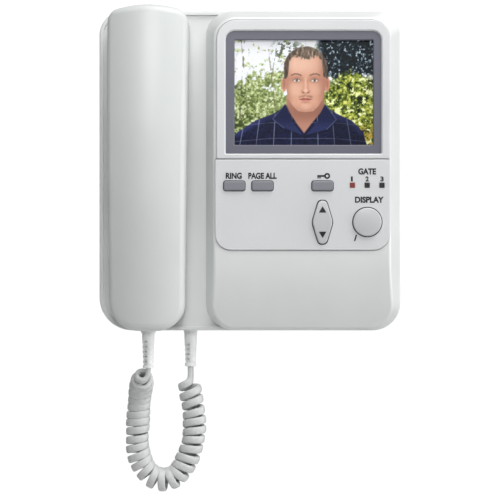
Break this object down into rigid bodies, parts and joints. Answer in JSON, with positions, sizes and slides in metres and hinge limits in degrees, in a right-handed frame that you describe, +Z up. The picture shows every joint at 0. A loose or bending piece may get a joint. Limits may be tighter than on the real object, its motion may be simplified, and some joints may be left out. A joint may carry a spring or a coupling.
{
  "type": "video intercom monitor",
  "caption": "Wall-mounted door intercom with a video screen, push keys, a tilt rocker, door lights and a handset on a curly cord.",
  "frame": {"origin": "centre of the wall bracket's four screw holes, on the wall plane", "axes": "+X right and +Z up, seen from the front; +Y into the wall"},
  "size_m": [0.198, 0.07, 0.3154],
  "materials": {
    "white_shell": "fine moulded texture",
    "light_trim": "smooth",
    "grey_mask": "smooth",
    "key_grey": "smooth",
    "pale_key": "smooth",
    "clear_pane": "polished",
    "picture": "lit screen",
    "red_light": "clear lens",
    "dark_light": "clear lens",
    "steel": "zinc plated",
    "circuit_board": "solder mask",
    "black_part": "satin",
    "green_terminal": "satin",
    "rubber_grey": "matt",
    "cord_white": "satin"
  },
  "bodies": {
    "base": {"wall_bracket": "steel", "rear_cover": "white_shell", "front_case": "white_shell", "case_screws": "steel", "screen_frame": "light_trim", "screen_mask": "grey_mask", "screen_window": "clear_pane", "display_panel": "picture", "display_backlight": "black_part", "display_bracket": "steel", "display_board": "circuit_board", "control_panel": "light_trim", "control_board": "circuit_board", "key_switches": "black_part", "door_light_1": "red_light", "door_light_2": "dark_light", "door_light_3": "dark_light", "main_board": "circuit_board", "board_components": "black_part", "terminal_block": "green_terminal", "terminal_screws": "steel", "board_screws": "steel", "call_speaker": "black_part", "hook_switch": "black_part", "hook_board": "circuit_board", "base_cord_relief": "cord_white", "cord_tail": "cord_white", "curly_cord": "cord_white"},
    "tone_key": {"tone_button": "key_grey"},
    "all_call_key": {"all_call_button": "key_grey"},
    "door_release_key": {"door_release_button": "key_grey"},
    "monitor_key": {"monitor_button": "pale_key"},
    "rocker": {"tilt_rocker": "pale_key"},
    "plunger": {"hook_plunger": "pale_key"},
    "handset": {"handset_outer_shell": "white_shell", "handset_inner_shell": "white_shell", "handset_screws": "steel", "earpiece_gasket": "rubber_grey", "earpiece_capsule": "black_part", "microphone": "steel", "microphone_boot": "rubber_grey", "handset_weight": "steel", "handset_cord_relief": "cord_white"}
  },
  "joints": [
    {"name": "handset_lift", "type": "slide", "parent": "base", "child": "handset", "axis": [0, -1, 0], "range_m": [0, 0.04]},
    {"name": "hook_plunger_travel", "type": "slide", "parent": "base", "child": "plunger", "axis": [0, -1, 0], "range_m": [0, 0.003]},
    {"name": "tone_press", "type": "slide", "parent": "base", "child": "tone_key", "axis": [0, 1, 0], "range_m": [0, 0.0009], "stiffness_N_per_m": 500, "springref_m": -0.001},
    {"name": "all_call_press", "type": "slide", "parent": "base", "child": "all_call_key", "axis": [0, 1, 0], "range_m": [0, 0.0009], "stiffness_N_per_m": 500, "springref_m": -0.001},
    {"name": "door_release_press", "type": "slide", "parent": "base", "child": "door_release_key", "axis": [0, 1, 0], "range_m": [0, 0.0009], "stiffness_N_per_m": 500, "springref_m": -0.001},
    {"name": "monitor_press", "type": "slide", "parent": "base", "child": "monitor_key", "axis": [0, 1, 0], "range_m": [0, 0.0009], "stiffness_N_per_m": 500, "springref_m": -0.001},
    {"name": "rocker_tilt", "type": "hinge", "parent": "base", "child": "rocker", "pos_m": [0.0464, -0.0489, -0.0343], "axis": [1, 0, 0], "range_deg": [-4, 4], "stiffness_Nm_per_rad": 0.15}
  ],
  "couplings": [
    {"joint": "hook_plunger_travel", "follows": "handset_lift", "ratio": 0.075}
  ]
}
